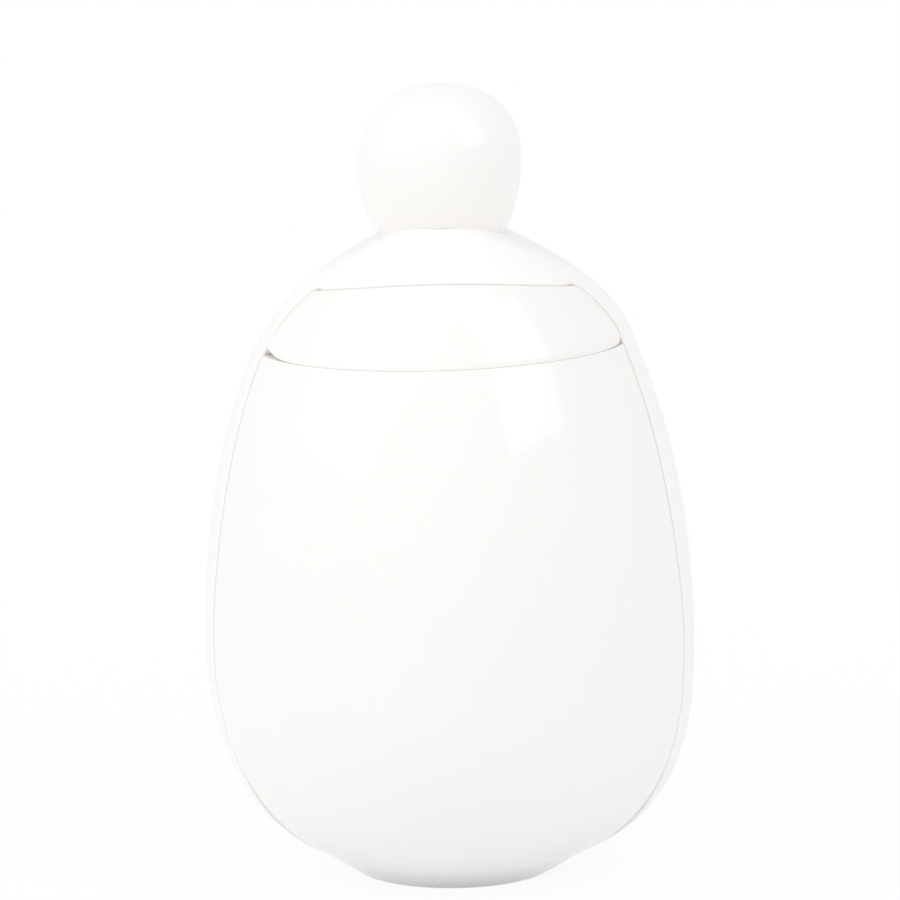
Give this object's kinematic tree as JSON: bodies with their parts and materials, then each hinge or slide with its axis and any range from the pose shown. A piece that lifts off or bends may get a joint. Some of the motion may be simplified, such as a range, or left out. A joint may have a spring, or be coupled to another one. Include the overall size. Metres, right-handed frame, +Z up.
{
  "type": "egg coddler",
  "caption": "Egg-shaped lidded porcelain cup with a ball knob, held shut by a stretched silicone strap that buttons over the knob.",
  "frame": {"origin": "centre of the foot, on the surface that the coddler stands on", "axes": "+Z up through the knob, +X along the strap's two side bands, +Y to the back"},
  "size_m": [0.07, 0.07, 0.1129],
  "materials": {
    "porcelain": "glossy warm white glaze",
    "strap_silicone": "matt white silicone",
    "seal_silicone": "satin translucent white silicone"
  },
  "bodies": {
    "cup_body": {"cup": "porcelain"},
    "lid_body": {"lid": "porcelain", "lid_seal": "seal_silicone"},
    "strap_body": {"strap_band": "strap_silicone"},
    "hood_body": {"strap_hood": "strap_silicone"}
  },
  "joints": [
    {"name": "lid_lift", "type": "slide", "parent": "cup_body", "child": "lid_body", "axis": [0, 0, 1], "range_m": [0, 0.06]},
    {"name": "strap_off", "type": "slide", "parent": "cup_body", "child": "strap_body", "axis": [0, 1, 0], "range_m": [0, 0.07], "deforming": ["strap_band", "strap_hood"]},
    {"name": "strap_pull", "type": "slide", "parent": "strap_body", "child": "hood_body", "axis": [0, 0, 1], "range_m": [0, 0.027], "stiffness_N_per_m": 500, "springref_m": -0.004, "deforming": ["strap_band", "strap_hood"]}
  ]
}
